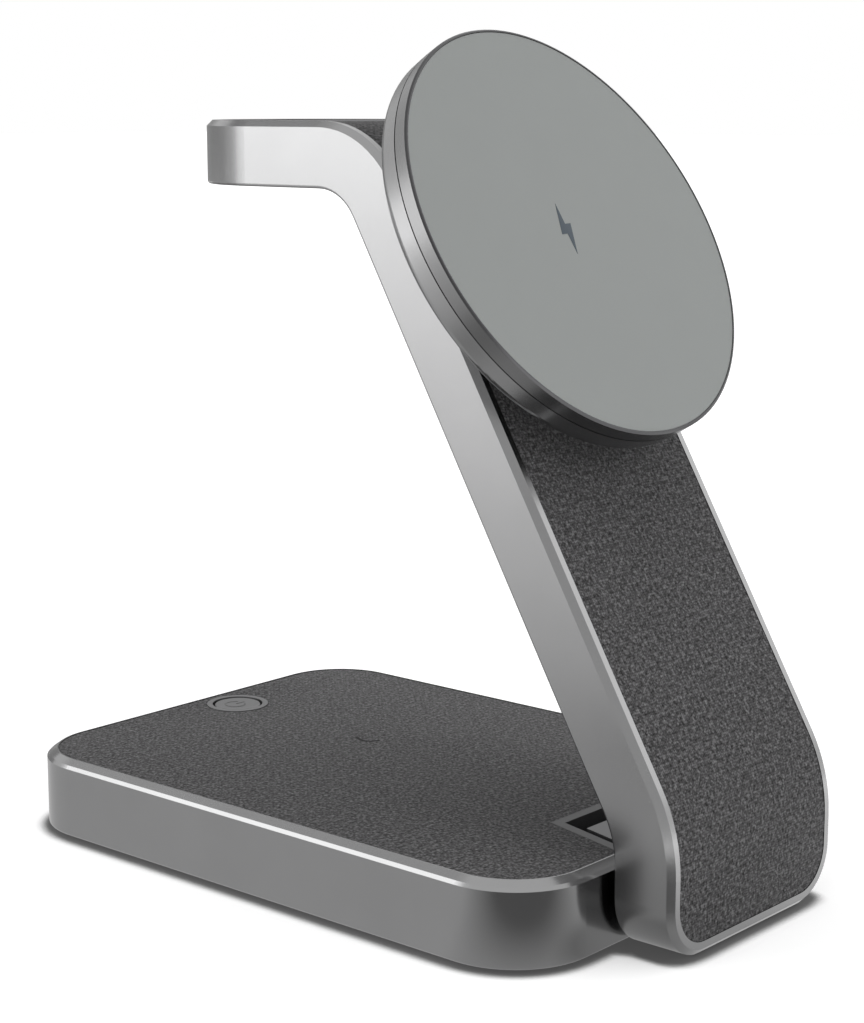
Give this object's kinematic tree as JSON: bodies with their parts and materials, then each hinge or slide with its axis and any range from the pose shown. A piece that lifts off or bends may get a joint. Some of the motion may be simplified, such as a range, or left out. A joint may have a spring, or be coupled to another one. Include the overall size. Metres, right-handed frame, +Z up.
{
  "type": "wireless charging stand",
  "caption": "Desk charger with a fabric-topped base pad, a bent fabric-faced arm hinged at its front, a tilting magnetic phone disc and a round-ended watch platform.",
  "frame": {"origin": "on the table, at the centre of the charger's overall plan", "axes": "+Z up, +X to the right seen from the phone's side, the phone's side faces -Y"},
  "size_m": [0.0674, 0.1044, 0.1121],
  "materials": {
    "gunmetal": "satin anodised",
    "trim": "satin",
    "fabric": "woven",
    "black_plastic": "matte",
    "face_grey": "smooth matte",
    "puck_dark": "polished",
    "rubber": "matte",
    "steel": "brushed",
    "board": "solder mask",
    "copper": "enamelled wire",
    "ferrite": "sintered",
    "magnet": "plated"
  },
  "bodies": {
    "base": {"base_frame": "gunmetal", "base_top_plate": "black_plastic", "base_fabric": "fabric", "bottom_cover": "black_plastic", "cover_screws": "steel", "rubber_feet": "rubber", "hinge_housing": "trim", "hinge_shaft": "steel", "main_board": "board", "board_screws": "steel", "usb_c_socket": "steel", "button_switch": "black_plastic", "button_bezel": "trim", "earbud_coil": "copper", "earbud_ferrite": "ferrite"},
    "button": {"power_button": "trim", "switch_plunger": "black_plastic"},
    "arm": {"arm_frame": "gunmetal", "arm_panel": "black_plastic", "arm_fabric": "fabric", "hinge_knuckle": "trim", "friction_sleeve": "steel", "knuckle_screws": "steel", "disc_bracket": "steel", "bracket_screws": "steel", "disc_pivot_pin": "steel", "watch_puck": "puck_dark", "watch_coil": "copper", "watch_magnet": "magnet", "watch_ferrite": "ferrite"},
    "disc": {"disc_rear_shell": "gunmetal", "disc_front_ring": "gunmetal", "disc_face": "face_grey", "magnet_ring": "magnet", "phone_coil": "copper", "phone_ferrite": "ferrite", "disc_board": "board"}
  },
  "joints": [
    {"name": "arm_fold", "type": "hinge", "parent": "base", "child": "arm", "pos_m": [0, -0.03705, 0.0082], "axis": [-1, 0, 0], "range_deg": [0, 45]},
    {"name": "disc_tilt", "type": "hinge", "parent": "arm", "child": "disc", "pos_m": [0, -0.0165, 0.08321], "axis": [-1, 0, 0], "range_deg": [-8, 15]},
    {"name": "button_press", "type": "slide", "parent": "base", "child": "button", "axis": [0, 0, -1], "range_m": [0, 0.0005], "stiffness_N_per_m": 1200, "springref_m": -0.0003}
  ]
}
